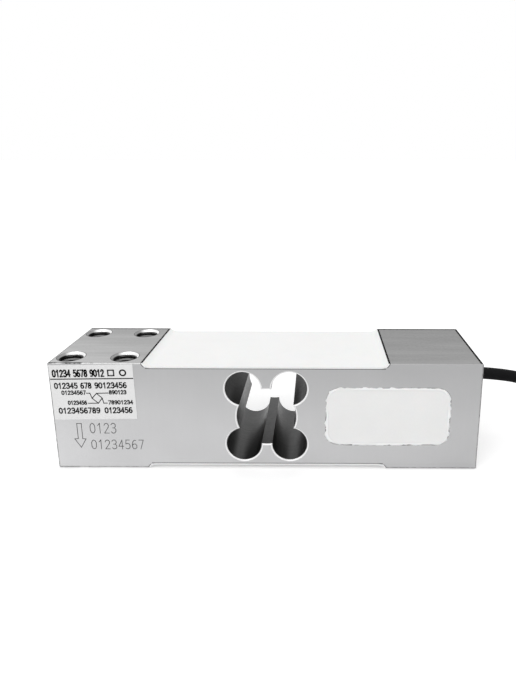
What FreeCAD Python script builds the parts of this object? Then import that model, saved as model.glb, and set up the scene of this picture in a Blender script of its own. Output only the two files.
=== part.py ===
"""Single point load cell: an aluminium bending beam with its sealed gauge circuit and short lead.

The frame is in millimetres. The origin is at the middle of the underside, +X runs from the
load end to the fixed end, where the cable leaves, and +Z is up.
"""

import FreeCAD, Part
import math
import os

Vector = FreeCAD.Vector
X_AXIS, Y_AXIS, Z_AXIS = Vector(1, 0, 0), Vector(0, 1, 0), Vector(0, 0, 1)

# Spring element
body_length = 150.0
body_width = 38.0
body_height = 40.0
edge_break = 0.25

# The cut-out through the width: one centre bore and four lobes round it
centre_bore_radius = 10.5
lobe_radius = 6.25
lobe_spacing_x = 16.2
thin_section = 1.4  # metal left between a lobe and the recess floor over it
deburr = 0.35

# Shallow recess across the top and the bottom, over the thin sections
end_pad_length = 32.6
recess_depth = 1.8
recess_corner_radius = 3.0
potting_thickness = 0.6
meniscus_run = 2.4
meniscus_rim = 0.15
meniscus_below_pad = 0.15

# Side pocket for the bridge circuit, near the fixed end
pocket_length = 43.3
pocket_height = 21.6
pocket_depth = 24.0
pocket_corner_radius = 4.75
pocket_end_wall = 10.7
pocket_base_wall = 9.4
sealant_sunk = 0.15
room_before_board = 4.5

# Tapped M8 holes: four on the load end's top, four on the fixed end's underside
thread_radius = 4.0
countersink_radius = 4.75
bolt_spacing_x = 19.05
bolt_spacing_y = 25.4
bolt_row_inset = 5.7
load_hole_depth = 16.0
fixing_hole_depth = 7.5
drill_point_angle = 118.0

# Strain gauges: a folded foil grid with two solder tabs on a film
film_thickness = 0.08
foil_thickness = 0.07
film_margin = 0.5
strand_pairs = 3
strand_length = 4.0
strand_width = 0.25
strand_pitch = 0.5
tab_size = 1.3
tab_gap = 0.3

# Terminal strips and flat leads on the recess floors
terminal_count = 4
terminal_length = 1.0
terminal_width = 2.2
terminal_pitch = 1.6
strip_margin = 0.5
strip_gap = 5.5
lead_width = 0.5
lead_thickness = 0.1
lead_pitch = 0.9
lead_gap = 1.2
ribbon_width = 2.0
ribbon_thickness = 0.25
ribbon_bend_radius = 1.0
ribbon_on_board = 2.0

# Bridge circuit board in the pocket
board_length = 28.0
board_height = 13.5
board_thickness = 1.0
board_corner_radius = 1.0
board_inset_x = 3.0
board_inset_z = 2.1
adhesive_thickness = 0.5
adhesive_margin = 3.0
wire_hole_radius = 1.5
wire_hole_inset = 9.0
chip_length = 3.2
chip_width = 1.6
chip_height = 0.55
chip_cap_length = 0.5
chip_cap_wall = 0.05
chip_columns = (0.42, 0.62)  # shares of the board's length
chip_rows = (0.3, 0.55, 0.8)  # shares of the board's height

# Cable and its cores
cable_diameter = 4.6
cable_from_pocket_floor = 3.0
cable_z = 28.5
cable_bore_clearance = 0.15
cable_in_pocket = 1.8
seal_radius = 4.0
seal_depth = 4.0
seal_bead = 0.7
seal_clearance = 0.05
core_diameter = 1.1
core_offset = 0.75
drain_diameter = 0.8
tip_diameter = 0.6
tip_length = 5.0
wire_lift = 0.05

# Cores on the board: each bends down a step further into the pocket than the last
core_first_bend = 2.0
core_bend_step = 1.5
core_drop_run = 3.5
core_on_board = 4.0
core_first_pad = 2.35
core_pad_pitch = 2.93

# Free cores: straight out of the jacket, then fanned out and down to the surface
core_straight_run = 4.0
core_touch_down = 14.0
core_reach = 20.0
fan_shift_at_touch_down = 1.5
fan_shift_at_reach = 1.8
fan_step_at_touch_down = 1.75
fan_step_at_reach = 3.2

# Height and place of the cable on its way from the fixed end down to the coil
cable_straight_run = 8.2
cable_droop = [(28.7, 1.2, -4.3), (42.0, 3.8, -15.1)]  # from where it leaves the end face
coil_lead_in = 12.0

# Coil of the stored cable, beside the fixed end
coil_centre_x = 143.0
coil_centre_y = -15.0
coil_radius = 23.0
single_layer_start = 285.0
cable_end_angle = 90.0

# Rating label on the front of the load end
label_length = 29.0
label_height = 20.4
label_thickness = 0.12
label_end_gap = 0.5
label_top_gap = 0.55
label_tilt = 0.8

# Places that follow from the sizes
front_y = -body_width / 2
back_y = body_width / 2
load_end_x = -body_length / 2
fixed_end_x = body_length / 2
middle_z = body_height / 2
floor_z = body_height - recess_depth
recess_length = body_length - 2 * end_pad_length
lobe_spacing_z = 2 * (floor_z - thin_section - lobe_radius - middle_z)
pocket_right_x = fixed_end_x - pocket_end_wall
pocket_left_x = pocket_right_x - pocket_length
pocket_top_z = pocket_base_wall + pocket_height
pocket_floor_y = front_y + pocket_depth
cable_y = pocket_floor_y - cable_from_pocket_floor
board_back_y = pocket_floor_y - adhesive_thickness
board_face_y = board_back_y - board_thickness
board_left_x = pocket_left_x + board_inset_x
board_base_z = pocket_base_wall + board_inset_z
board_top_z = board_base_z + board_height
wire_hole_x = pocket_left_x + wire_hole_inset
wire_hole_y = board_face_y - wire_hole_radius + 2 * ribbon_thickness
foil_top = film_thickness + foil_thickness
lead_top = foil_top + lead_thickness
strip_y = wire_hole_y - strip_gap - terminal_width / 2
cable_radius = cable_diameter / 2
past = 1.0  # how far a cutting tool stands out of what it cuts


# Solids that several pieces use


def box(x0, x1, y0, y1, z0, z1):
    return Part.makeBox(x1 - x0, y1 - y0, z1 - z0, Vector(x0, y0, z0))


def prism(edges, direction):
    """The closed outline that the edges make, extruded."""
    return Part.Face(Part.Wire(edges)).extrude(direction)


def line(a, b):
    return Part.LineSegment(a, b).toShape()


def arc(a, through, b):
    return Part.Arc(a, through, b).toShape()


def turned(profile, base, axis, side):
    """A solid of revolution. The profile holds (radius, distance from base along axis)."""
    points = [base + side * r + axis * h for r, h in profile]
    return Part.Face(Part.makePolygon(points + points[:1])).revolve(base, axis, 360)


def rounded_block(x0, x1, y0, y1, z0, z1, radius):
    """A block along Y whose four long edges are rounded."""
    block = box(x0, x1, y0, y1, z0, z1)
    long_edges = [e for e in block.Edges if abs(e.tangentAt(0).y) > 0.5]
    return block.makeFillet(radius, long_edges)


def routed_wire(points, name=""):
    """Straight runs joined by tangent arcs, each as large as its two runs allow."""
    edges, start, radii = [], points[0], []
    for before, corner, after in zip(points, points[1:], points[2:]):
        back, ahead = before - corner, after - corner
        reach = 0.45 * min(back.Length, ahead.Length)
        back.normalize()
        ahead.normalize()
        half_turn = (math.pi - back.getAngle(ahead)) / 2
        radius = reach / math.tan(half_turn)
        inward = back + ahead
        inward.normalize()
        middle = corner + inward * (radius / math.cos(half_turn) - radius)
        leave, join = corner + back * reach, corner + ahead * reach
        edges += [line(start, leave), arc(leave, middle, join)]
        start = join
        radii.append(round(radius, 1))
    edges.append(line(start, points[-1]))
    if name:
        print(name, "bend radii", radii)
    return Part.Wire(edges)


def tube(points, diameter, name=""):
    """A round solid swept along the routed points."""
    wire = routed_wire(points, name)
    section = Part.Wire(Part.makeCircle(diameter / 2, points[0], points[1] - points[0]))
    solid = wire.makePipeShell([section], True, False)
    if name:
        expected = math.pi * diameter**2 / 4 * wire.Length
        print(name, "length", round(wire.Length, 1), "volume ratio", round(solid.Volume / expected, 4))
    return solid


def upside_down(shape):
    """The same shape on the underside, mirrored about the middle height."""
    return shape.mirror(Vector(0, 0, middle_z), Z_AXIS)


# Spring element


def cut_out_bore(x, z, radius):
    """One bore through the width with its edges broken at both faces."""
    profile = [
        (0, front_y - past),
        (radius + deburr + past, front_y - past),
        (radius, front_y + deburr),
        (radius, back_y - deburr),
        (radius + deburr + past, back_y + past),
        (0, back_y + past),
    ]
    return turned(profile, Vector(x, 0, z), Y_AXIS, X_AXIS)


def cut_out():
    lobes = [
        cut_out_bore(i * lobe_spacing_x / 2, middle_z + k * lobe_spacing_z / 2, lobe_radius)
        for i in (-1, 1)
        for k in (-1, 1)
    ]
    return cut_out_bore(0, middle_z, centre_bore_radius).multiFuse(lobes)


def recess_end_run(height):
    """How far the hollow end of the recess has come in from its floor at a height over it."""
    return math.sqrt(recess_corner_radius**2 - (recess_corner_radius - height) ** 2)


def top_recess():
    """The recess across the top, with hollow ends, and some room over it."""
    half_floor = recess_length / 2 - recess_end_run(recess_depth)

    def at(side, height):
        return Vector(side * (half_floor + recess_end_run(height)), front_y - past, floor_z + height)

    def over(side):
        return Vector(side * recess_length / 2, front_y - past, body_height + past)

    half = recess_depth / 2
    edges = [
        line(at(-1, 0), at(1, 0)),
        arc(at(1, 0), at(1, half), at(1, recess_depth)),
        line(at(1, recess_depth), over(1)),
        line(over(1), over(-1)),
        line(over(-1), at(-1, recess_depth)),
        arc(at(-1, recess_depth), at(-1, half), at(-1, 0)),
    ]
    return prism(edges, Y_AXIS * (body_width + 2 * past))


def tapped_hole(x, y, mouth_z, inward, depth, drill_point):
    """A blind hole at the thread's outer radius, countersunk at its mouth."""
    profile = [
        (0, -past),
        (countersink_radius + past, -past),
        (thread_radius, countersink_radius - thread_radius),
        (thread_radius, depth),
        (0, depth + drill_point),
    ]
    return turned(profile, Vector(x, y, mouth_z), Z_AXIS * inward, X_AXIS)


def bolt_places(end):
    """The four hole places of a pattern; end is -1 at the load end and 1 at the fixed end."""
    rows = [bolt_row_inset, bolt_row_inset + bolt_spacing_x]
    columns = [-bolt_spacing_y / 2, bolt_spacing_y / 2]
    return [(end * (body_length / 2 - row), y) for row in rows for y in columns]


def cable_passage():
    """The bore from the fixed end's face through the pocket's corner, wider for the seal."""
    bore = cable_radius + cable_bore_clearance
    profile = [
        (0, -past),
        (seal_radius, -past),
        (seal_radius, seal_depth),
        (bore, seal_depth),
        (bore, pocket_end_wall + pocket_corner_radius),
        (0, pocket_end_wall + pocket_corner_radius),
    ]
    return turned(profile, Vector(fixed_end_x, cable_y, cable_z), -X_AXIS, Y_AXIS)


def pocket_block(y0, y1):
    return rounded_block(
        pocket_left_x, pocket_right_x, y0, y1, pocket_base_wall, pocket_top_z, pocket_corner_radius
    )


def wire_hole(z0, z1):
    return Part.makeCylinder(wire_hole_radius, z1 - z0, Vector(wire_hole_x, wire_hole_y, z0))


def spring_element():
    block = box(load_end_x, fixed_end_x, front_y, back_y, 0, body_height)
    block = block.makeChamfer(edge_break, block.Edges)
    drill_point = thread_radius / math.tan(math.radians(drill_point_angle / 2))
    tools = [cut_out(), top_recess(), upside_down(top_recess())]
    tools.append(pocket_block(front_y - past, pocket_floor_y))
    tools.append(wire_hole(pocket_top_z - past, floor_z + past))
    tools.append(wire_hole(recess_depth - past, pocket_base_wall + past))
    tools.append(cable_passage())
    for x, y in bolt_places(-1):
        tools.append(tapped_hole(x, y, body_height, -1, load_hole_depth, drill_point))
    for x, y in bolt_places(1):
        tools.append(tapped_hole(x, y, 0, 1, fixing_hole_depth, 0))
    return block.cut(tools)


# Gauge circuit of the top face, which is mirrored for the underside


def on_floor(x0, x1, y0, y1, low, high):
    """A flat piece between two heights over the recess floor."""
    return box(x0, x1, y0, y1, floor_z + low, floor_z + high)


def gauge_tabs(x):
    """The middles of the two solder tabs of a gauge whose grid is centred at x."""
    tab_x = x - strand_length / 2 - tab_gap - tab_size / 2
    outer_y = (strand_pairs - 0.5) * strand_pitch
    return [(tab_x, side * (outer_y - strand_width / 2 + tab_size / 2)) for side in (-1, 1)]


def strain_gauge(x):
    """A folded foil grid along X on its film, with both tabs at the grid's left end."""
    half, wide, tab = strand_length / 2, strand_width / 2, tab_size / 2
    count = 2 * strand_pairs
    foil = []
    for i in range(count):
        y = (i - (count - 1) / 2) * strand_pitch
        reach = half + tab_gap if i in (0, count - 1) else half
        foil.append(on_floor(x - reach, x + half, y - wide, y + wide, film_thickness, foil_top))
        if i < count - 1:
            end = x + half - strand_width if i % 2 == 0 else x - half
            loop_top = y + strand_pitch + wide
            foil.append(
                on_floor(end, end + strand_width, y - wide, loop_top, film_thickness, foil_top)
            )
    for tab_x, tab_y in gauge_tabs(x):
        foil.append(
            on_floor(tab_x - tab, tab_x + tab, tab_y - tab, tab_y + tab, film_thickness, foil_top)
        )
    film_left = x - half - tab_gap - tab_size - film_margin
    film_side = gauge_tabs(x)[1][1] + tab_size / 2 + film_margin
    film_right = x + half + film_margin
    film = on_floor(film_left, film_right, -film_side, film_side, 0, film_thickness)
    return film.multiFuse(foil).removeSplitter()


def terminal_x(i):
    return wire_hole_x + (i - (terminal_count - 1) / 2) * terminal_pitch


def terminal_strip():
    """A film with a row of copper terminals, beside the wire hole."""
    half = terminal_length / 2
    low, high = strip_y - terminal_width / 2, strip_y + terminal_width / 2
    terminals = [
        on_floor(terminal_x(i) - half, terminal_x(i) + half, low, high, film_thickness, foil_top)
        for i in range(terminal_count)
    ]
    left = terminal_x(0) - half - strip_margin
    right = terminal_x(terminal_count - 1) + half + strip_margin
    film = on_floor(left, right, low - strip_margin, high + strip_margin, 0, film_thickness)
    return film.multiFuse(terminals).removeSplitter()


def flat_lead(corners):
    """A flat conductor with square corners, lying at the height of the foil."""
    wide = lead_width / 2
    runs = [
        on_floor(
            min(ax, bx) - wide,
            max(ax, bx) + wide,
            min(ay, by) - wide,
            max(ay, by) + wide,
            foil_top,
            lead_top,
        )
        for (ax, ay), (bx, by) in zip(corners, corners[1:])
    ]
    return runs[0].multiFuse(runs[1:]).removeSplitter()


def gauge_leads():
    """Four leads from the gauges' tabs to the terminals, laid beside each other."""
    starts = []
    for x in (-lobe_spacing_x / 2, lobe_spacing_x / 2):
        (tab_x, near_y), (_, far_y) = gauge_tabs(x)
        outside = tab_x - tab_size / 2 - film_margin - lead_width
        starts += [[(tab_x, far_y), (outside, far_y)], [(tab_x, near_y)]]
    leads = []
    terminal_y = strip_y - terminal_width / 4
    for i, start in enumerate(starts):
        lane = strip_y - terminal_width / 2 - lead_gap - (terminal_count - 1 - i) * lead_pitch
        end_x = terminal_x(terminal_count - 1 - i)
        leads.append(flat_lead(start + [(start[-1][0], lane), (end_x, lane), (end_x, terminal_y)]))
    return Part.makeCompound(leads)


def bridge_ribbon(end_z):
    """A flat ribbon from the terminals over the wire hole's edge and down onto the board."""
    x = wire_hole_x - ribbon_width / 2
    low, high = floor_z + foil_top, floor_z + foil_top + ribbon_thickness
    inner, outer = ribbon_bend_radius, ribbon_bend_radius + ribbon_thickness
    start_y, back = strip_y + terminal_width / 4, board_face_y - ribbon_thickness
    bend_y, bend_z = back - inner, low - inner
    half = math.sqrt(0.5)

    def at(y, z):
        return Vector(x, y, z)

    edges = [
        line(at(start_y, low), at(bend_y, low)),
        arc(at(bend_y, low), at(bend_y + inner * half, bend_z + inner * half), at(back, bend_z)),
        line(at(back, bend_z), at(back, end_z)),
        line(at(back, end_z), at(board_face_y, end_z)),
        line(at(board_face_y, end_z), at(board_face_y, bend_z)),
        arc(
            at(board_face_y, bend_z),
            at(bend_y + outer * half, bend_z + outer * half),
            at(bend_y, high),
        ),
        line(at(bend_y, high), at(start_y, high)),
        line(at(start_y, high), at(start_y, low)),
    ]
    return prism(edges, X_AXIS * ribbon_width)


def potting(pieces):
    """The white layer on the recess floor, which climbs at both ends, cast round the circuit."""
    half_floor = recess_length / 2 - recess_end_run(recess_depth)
    rim_height = recess_depth - meniscus_below_pad
    climb = rim_height - potting_thickness
    rim_x = half_floor + recess_end_run(rim_height)
    radius = (meniscus_run**2 + climb**2) / (2 * climb)
    half_turn = math.asin(meniscus_run / radius) / 2
    start_x = rim_x - meniscus_rim - meniscus_run
    middle_x = start_x + radius * math.sin(half_turn)
    middle_height = potting_thickness + radius * (1 - math.cos(half_turn))

    def at(x, height):
        return Vector(x, front_y, floor_z + height)

    edges = [line(at(-half_floor, 0), at(half_floor, 0))]
    edges.append(line(at(-start_x, potting_thickness), at(start_x, potting_thickness)))
    for side in (-1, 1):
        wall_middle = at(side * (half_floor + recess_end_run(rim_height / 2)), rim_height / 2)
        rim, rim_inner = side * rim_x, side * (rim_x - meniscus_rim)
        edges.append(arc(at(side * half_floor, 0), wall_middle, at(rim, rim_height)))
        edges.append(line(at(rim, rim_height), at(rim_inner, rim_height)))
        meniscus_middle = at(side * middle_x, middle_height)
        meniscus_end = at(side * start_x, potting_thickness)
        edges.append(arc(at(rim_inner, rim_height), meniscus_middle, meniscus_end))
    return prism(Part.__sortEdges__(edges), Y_AXIS * body_width).cut(pieces)


# Bridge circuit in the pocket


def compensation_board():
    return rounded_block(
        board_left_x,
        board_left_x + board_length,
        board_face_y,
        board_back_y,
        board_base_z,
        board_top_z,
        board_corner_radius,
    )


def adhesive_pad():
    return box(
        board_left_x + adhesive_margin,
        board_left_x + board_length - adhesive_margin,
        board_back_y,
        pocket_floor_y,
        board_base_z + adhesive_margin,
        board_top_z - adhesive_margin,
    )


def chip(column, row):
    """A chip resistor on the board: a ceramic block between two metal end caps."""
    x = board_left_x + chip_columns[column] * board_length
    z = board_base_z + chip_rows[row] * board_height
    half, wall, side = chip_length / 2, chip_cap_wall, chip_width / 2
    back = board_face_y
    block = box(x - half + wall, x + half - wall, back - chip_height, back, z - side, z + side)
    caps = [
        box(a, a + chip_cap_length, back - chip_height - wall, back, z - side - wall, z + side + wall)
        for a in (x - half, x + half - chip_cap_length)
    ]
    return block.multiFuse(caps).removeSplitter()


def pocket_sealant():
    """The white filling of the pocket's mouth, down to the room where the board lies."""
    return pocket_block(front_y + sealant_sunk, board_face_y - room_before_board)


# Cable


def cable_end_seal():
    """A ring of sealant round the cable in the mouth of its bore, with a rounded bead."""
    inner = cable_radius + seal_clearance
    face, side = Vector(fixed_end_x, cable_y, cable_z), Y_AXIS

    def at(radius, out):
        return face + side * radius + X_AXIS * out

    middle = (inner + seal_radius) / 2
    edges = [
        line(at(inner, -seal_depth), at(seal_radius, -seal_depth)),
        line(at(seal_radius, -seal_depth), at(seal_radius, 0)),
        arc(at(seal_radius, 0), at(middle, seal_bead), at(inner, 0)),
        line(at(inner, 0), at(inner, -seal_depth)),
    ]
    return Part.Face(Part.Wire(edges)).revolve(face, X_AXIS, 360)


def cable_route():
    """The points of the cable from the pocket, down to the top turn of the coil."""
    leaves = Vector(fixed_end_x, cable_y, cable_z)
    meets_coil = Vector(coil_centre_x, coil_centre_y + coil_radius, 3 * cable_radius)
    return [
        Vector(pocket_right_x - cable_in_pocket, cable_y, cable_z),
        leaves + X_AXIS * cable_straight_run,
        *[leaves + Vector(*step) for step in cable_droop],
        meets_coil - X_AXIS * coil_lead_in,
        meets_coil,
    ]


def stadium_ring(centres, start, end):
    """Round sections side by side or stacked, hulled, and turned about the coil's axis.

    The centres are (radius, height) and the angles are degrees along the cable from where it
    first touches the coil.
    """
    (r0, z0), (r1, z1) = centres
    middle = Vector(coil_centre_x, coil_centre_y, 0)
    along = Vector(0, r1 - r0, z1 - z0)
    across = Vector(0, z1 - z0, r0 - r1)
    along.normalize()
    across.normalize()
    a, b = middle + Vector(0, r0, z0), middle + Vector(0, r1, z1)
    r = cable_radius
    edges = [
        line(a + across * r, b + across * r),
        arc(b + across * r, b + along * r, b - across * r),
        line(b - across * r, a - across * r),
        arc(a - across * r, a - along * r, a + across * r),
    ]
    face = Part.Face(Part.Wire(edges))
    face.rotate(middle, Z_AXIS, -start)
    return face.revolve(middle, Z_AXIS, start - end)


def cable_coil():
    """Two turns on each other, which end side by side as the cable's end steps outward."""
    low, high = cable_radius, 3 * cable_radius
    stacked = stadium_ring([(coil_radius, low), (coil_radius, high)], 0, single_layer_start)
    flat = stadium_ring(
        [(coil_radius, low), (coil_radius + cable_diameter, low)],
        single_layer_start - 360,
        cable_end_angle,
    )
    return stacked.fuse(flat)


def free_core(name):
    """One core of the cable's free end, from the jacket's cut face down to the surface."""
    side, lift, spread, diameter = {
        "red": (1, 1, 0, core_diameter),
        "black": (1, -1, 1, core_diameter),
        "drain": (0, 0, 2, drain_diameter),
        "green": (-1, -1, 3, core_diameter),
        "white": (-1, 1, 4, core_diameter),
    }[name]
    end_x = coil_centre_x + coil_radius + cable_diameter
    x, y, z = end_x + side * core_offset, coil_centre_y, cable_radius + lift * core_offset
    rest = diameter / 2 + wire_lift
    points = [
        Vector(x, y, z),
        Vector(x, y - core_straight_run, z),
        Vector(
            end_x + fan_shift_at_touch_down - fan_step_at_touch_down * spread,
            y - core_touch_down,
            rest,
        ),
        Vector(end_x + fan_shift_at_reach - fan_step_at_reach * spread, y - core_reach, rest),
    ]
    heading = points[-1] - points[-2]
    heading.normalize()
    tip = Part.makeCylinder(tip_diameter / 2, tip_length, points[-1], heading)
    return tube(points, diameter).fuse(tip)


def board_core(name):
    """One core in the pocket, from the cable's cut face to its pad on the board."""
    toward, lift, order = {
        "black": (-1, -1, 0),
        "white": (1, -1, 1),
        "green": (1, 1, 2),
        "red": (-1, 1, 3),
    }[name]
    start_x = pocket_right_x - cable_in_pocket
    y, z = cable_y + toward * core_offset, cable_z + lift * core_offset
    on_board = board_face_y - core_diameter / 2 - wire_lift
    pad_z = board_base_z + core_first_pad + order * core_pad_pitch
    bend_x = start_x - core_first_bend - order * core_bend_step
    points = [
        Vector(start_x, y, z),
        Vector(bend_x, y, z),
        Vector(bend_x - core_drop_run, on_board, pad_z),
        Vector(board_left_x + board_length - core_on_board, on_board, pad_z),
    ]
    return tube(points, core_diameter)


def rating_label():
    """A printed film on the front face, slightly turned."""
    x = load_end_x + label_end_gap
    top = body_height - label_top_gap
    label = box(x, x + label_length, front_y - label_thickness, front_y, top - label_height, top)
    middle = Vector(x + label_length / 2, front_y, top - label_height / 2)
    label.rotate(middle, Y_AXIS, -label_tilt)
    return label


def all_pieces():
    top_gauges = {
        "left": strain_gauge(-lobe_spacing_x / 2),
        "right": strain_gauge(lobe_spacing_x / 2),
    }
    strip, leads = terminal_strip(), gauge_leads()
    top_ribbon = bridge_ribbon(board_top_z - ribbon_on_board)
    bottom_ribbon = upside_down(bridge_ribbon(body_height - board_base_z - ribbon_on_board))
    top_circuit = [*top_gauges.values(), strip, leads, top_ribbon]
    top_layer = potting(top_circuit)
    pieces = {
        "spring_element": spring_element(),
        "terminal_strip_top": strip,
        "terminal_strip_bottom": upside_down(strip),
        "gauge_leads_top": leads,
        "gauge_leads_bottom": upside_down(leads),
        "bridge_ribbon_top": top_ribbon,
        "bridge_ribbon_bottom": bottom_ribbon,
        "potting_top": top_layer,
        "potting_bottom": upside_down(top_layer),
        "compensation_board": compensation_board(),
        "board_adhesive_pad": adhesive_pad(),
        "span_trim_resistor": chip(0, 2),
        "zero_trim_resistor": chip(0, 1),
        "span_temperature_resistor": chip(1, 2),
        "zero_temperature_resistor": chip(1, 1),
        "input_trim_resistor": chip(0, 0),
        "pocket_sealant": pocket_sealant(),
        "cable_end_seal": cable_end_seal(),
        "cable": tube(cable_route(), cable_diameter, "cable"),
        "cable_coil": cable_coil(),
        "rating_label": rating_label(),
    }
    for side, gauge in top_gauges.items():
        pieces[f"strain_gauge_top_{side}"] = gauge
        pieces[f"strain_gauge_bottom_{side}"] = upside_down(gauge)
    for name in ("red", "black", "green", "white"):
        pieces[f"core_{name}_at_board"] = board_core(name)
    for name in ("red", "black", "green", "white", "drain"):
        pieces[f"core_{name}_free_end"] = free_core(name)
    return pieces


os.makedirs("parts", exist_ok=True)
for node, shape in all_pieces().items():
    print(node, len(shape.Solids), round(shape.Volume, 2), "valid" if shape.isValid() else "NOT VALID")
    shape.exportStep(f"parts/{node}.step")
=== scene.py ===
import bpy, bmesh
import math
from mathutils import Matrix, Vector, noise


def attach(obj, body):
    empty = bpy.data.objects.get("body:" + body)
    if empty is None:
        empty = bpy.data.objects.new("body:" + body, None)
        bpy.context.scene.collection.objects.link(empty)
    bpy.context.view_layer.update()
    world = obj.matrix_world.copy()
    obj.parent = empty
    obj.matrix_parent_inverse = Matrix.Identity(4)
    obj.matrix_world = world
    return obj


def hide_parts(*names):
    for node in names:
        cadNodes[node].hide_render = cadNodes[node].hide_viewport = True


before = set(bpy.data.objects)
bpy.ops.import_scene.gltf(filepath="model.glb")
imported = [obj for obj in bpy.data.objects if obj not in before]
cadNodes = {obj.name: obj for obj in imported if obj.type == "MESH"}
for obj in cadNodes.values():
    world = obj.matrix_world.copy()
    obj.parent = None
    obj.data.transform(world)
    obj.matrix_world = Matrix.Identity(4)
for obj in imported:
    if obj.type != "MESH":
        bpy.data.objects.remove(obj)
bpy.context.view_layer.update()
mm = 0.001
print("frame:", len(cadNodes), "nodes")


# camera

cameraSettings = {
    "place": (17.6, -192.9, 110.8),  # mm
    "tiltDown": 13.41,
    "turn": 0.18,
    "roll": 0.10,
    "lens": 28.345,
    "sensor": 36.0,
    "shift": (-0.0831, -0.0922),
    "clip": (0.01, 50),
}


def newObject(name, data):
    made = bpy.data.objects.new(name, data)
    bpy.context.collection.objects.link(made)
    return made


def makeCamera(settings):
    data = bpy.data.cameras.new("Camera")
    data.lens = settings["lens"]
    data.sensor_width = settings["sensor"]
    data.shift_x, data.shift_y = settings["shift"]
    data.clip_start, data.clip_end = settings["clip"]
    camera = newObject("Camera", data)
    camera.location = Vector(settings["place"]) * mm
    turn = Matrix.Rotation(math.radians(settings["turn"]), 4, "Z")
    tilt = Matrix.Rotation(math.radians(90 - settings["tiltDown"]), 4, "X")
    roll = Matrix.Rotation(math.radians(settings["roll"]), 4, "Z")
    camera.rotation_euler = (turn @ tilt @ roll).to_euler()
    bpy.context.scene.camera = camera


makeCamera(cameraSettings)
print("camera made")


# node helpers


def newNode(tree, kind, inputs=None, **values):
    made = tree.nodes.new(kind)
    for name, value in values.items():
        setattr(made, name, value)
    for key, value in (inputs or {}).items():
        if isinstance(value, bpy.types.NodeSocket):
            tree.links.new(value, made.inputs[key])
        else:
            made.inputs[key].default_value = value
    return made


def mathNode(tree, operation, a, b=0.0):
    return newNode(tree, "ShaderNodeMath", {0: a, 1: b}, operation=operation).outputs[0]


def rangeNode(tree, value, fromMin, fromMax, toMin=0.0, toMax=1.0):
    inputs = {0: value, 1: fromMin, 2: fromMax, 3: toMin, 4: toMax}
    return newNode(tree, "ShaderNodeMapRange", inputs).outputs[0]


def mixColour(tree, factor, a, b):
    return newNode(tree, "ShaderNodeMix", {0: factor, 6: a, 7: b}, data_type="RGBA").outputs[2]


def vectorNode(tree, operation, inputs):
    return newNode(tree, "ShaderNodeVectorMath", inputs, operation=operation).outputs


def scaleColour(tree, base, factor):
    return vectorNode(tree, "SCALE", {0: base, "Scale": factor})[0]


def objectPlace(tree):
    place = newNode(tree, "ShaderNodeTexCoord").outputs["Object"]
    return place, newNode(tree, "ShaderNodeSeparateXYZ", {0: place}).outputs


def grey(level, blue=1.0):
    return (level, level, level * blue, 1.0)


def newGroup(name, inputs, outputs):
    tree = bpy.data.node_groups.new(name, "ShaderNodeTree")
    for label, kind, value in inputs:
        socket = tree.interface.new_socket(label, in_out="INPUT", socket_type=kind)
        socket.default_value = value
    for label, kind in outputs:
        tree.interface.new_socket(label, in_out="OUTPUT", socket_type=kind)
    start = tree.nodes.new("NodeGroupInput")
    end = tree.nodes.new("NodeGroupOutput")
    return tree, start.outputs, end.inputs


number, colour = "NodeSocketFloat", "NodeSocketColor"

groupSettings = {
    "grainRoughness": 0.6,
    "grainSpan": (0.3, 0.7),  # the part of a grain that a tone follows
    "slant": (0.97, 0.8),
    "chipScale": 900,
    "breaks": (0.35, 0.6, 0.55, 1.0),
}


def makeGrainGroup():
    tree, given, result = newGroup(
        "grain",
        [("Scale", number, 400.0), ("Along X", number, 1.0), ("Along Y", number, 1.0),
         ("Along Z", number, 1.0), ("Detail", number, 3.0)],
        [("Fac", number)],
    )
    place = newNode(tree, "ShaderNodeTexCoord").outputs["Object"]
    stretch = newNode(tree, "ShaderNodeCombineXYZ",
                      {0: given["Along X"], 1: given["Along Y"], 2: given["Along Z"]})
    scaled = vectorNode(tree, "MULTIPLY", {0: place, 1: stretch.outputs[0]})
    spots = newNode(tree, "ShaderNodeTexNoise",
                    {"Vector": scaled[0], "Scale": given["Scale"], "Detail": given["Detail"],
                     "Roughness": groupSettings["grainRoughness"]})
    tree.links.new(spots.outputs["Fac"], result["Fac"])
    return tree


def makeToneGroup():
    tree, given, result = newGroup(
        "toneShift",
        [("Color", colour, grey(0.5)), ("Fac", number, 0.5), ("Darkest", number, 0.9),
         ("Lightest", number, 1.1)],
        [("Color", colour)],
    )
    level = rangeNode(tree, given["Fac"], *groupSettings["grainSpan"], given["Darkest"],
                      given["Lightest"])
    tree.links.new(scaleColour(tree, given["Color"], level), result["Color"])
    return tree


def makeEdgeGroup():
    # worn or broken edges, which on the milled block carry painted shade, are the faces that look
    # along none of the axes
    tree, given, result = newGroup("edgeWearAndShade", [("Wear", number, 1.0)], [("Mask", number)])
    normal = newNode(tree, "ShaderNodeTexCoord").outputs["Normal"]
    size = vectorNode(tree, "ABSOLUTE", {0: normal})[0]
    parts = newNode(tree, "ShaderNodeSeparateXYZ", {0: size}).outputs
    most = mathNode(tree, "MAXIMUM", mathNode(tree, "MAXIMUM", parts[0], parts[1]), parts[2])
    slanted = rangeNode(tree, most, *groupSettings["slant"])
    place = newNode(tree, "ShaderNodeTexCoord").outputs["Object"]
    chips = newNode(tree, "ShaderNodeTexNoise",
                    {"Vector": place, "Scale": groupSettings["chipScale"]})
    broken = rangeNode(tree, chips.outputs["Fac"], *groupSettings["breaks"])
    worn = mathNode(tree, "MULTIPLY", mathNode(tree, "MULTIPLY", slanted, broken), given["Wear"])
    tree.links.new(worn, result["Mask"])
    return tree


grainGroup = makeGrainGroup()
toneGroup = makeToneGroup()
edgeGroup = makeEdgeGroup()


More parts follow.
